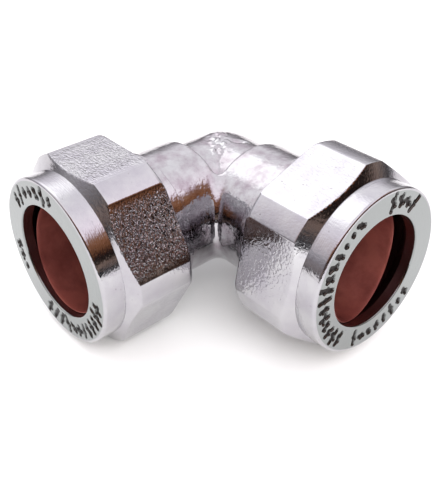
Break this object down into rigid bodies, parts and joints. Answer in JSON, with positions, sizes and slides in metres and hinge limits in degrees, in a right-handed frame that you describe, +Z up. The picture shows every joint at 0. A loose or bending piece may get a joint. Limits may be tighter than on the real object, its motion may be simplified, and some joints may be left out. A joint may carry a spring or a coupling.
{
  "type": "compression fitting",
  "caption": "Right-angle compression elbow for rigid round tube: plated body with an external screw thread on each arm, hexagon compression nuts and copper sealing olives.",
  "frame": {"origin": "centre of the assembly's footprint at the height of its lowest point, with both tube axes horizontal", "axes": "+X along the right arm towards its tube mouth, -Y along the left arm towards its tube mouth, +Z up, square to both tubes"},
  "size_m": [0.0416, 0.0412, 0.026],
  "materials": {
    "plated_body": "polished plating over cast brass",
    "plated_nut": "polished plating over forged brass, orange-peel grain on the flats",
    "copper": "drawn copper, dull red-brown"
  },
  "bodies": {
    "elbow": {"elbow_body": "plated_body"},
    "left_ring": {"left_olive": "copper"},
    "left_cap": {"left_nut": "plated_nut"},
    "right_ring": {"right_olive": "copper"},
    "right_cap": {"right_nut": "plated_nut"}
  },
  "joints": [
    {"name": "left_nut_travel", "type": "slide", "parent": "elbow", "child": "left_ring", "axis": [0, -1, 0], "range_m": [-0.00182, 0.00727]},
    {"name": "left_nut_turn", "type": "hinge", "parent": "left_ring", "child": "left_cap", "pos_m": [-0.00775, -0.01415, 0.01302], "axis": [0, -1, 0], "range_deg": [-360, 1440]},
    {"name": "right_nut_travel", "type": "slide", "parent": "elbow", "child": "right_ring", "axis": [1, 0, 0], "range_m": [-0.00182, 0.00727]},
    {"name": "right_nut_turn", "type": "hinge", "parent": "right_ring", "child": "right_cap", "pos_m": [0.01425, 0.00785, 0.01302], "axis": [1, 0, 0], "range_deg": [-360, 1440]}
  ],
  "couplings": [
    {"joint": "left_nut_travel", "follows": "left_nut_turn", "m_per_rad": 0.00028871},
    {"joint": "right_nut_travel", "follows": "right_nut_turn", "m_per_rad": 0.00028871}
  ]
}
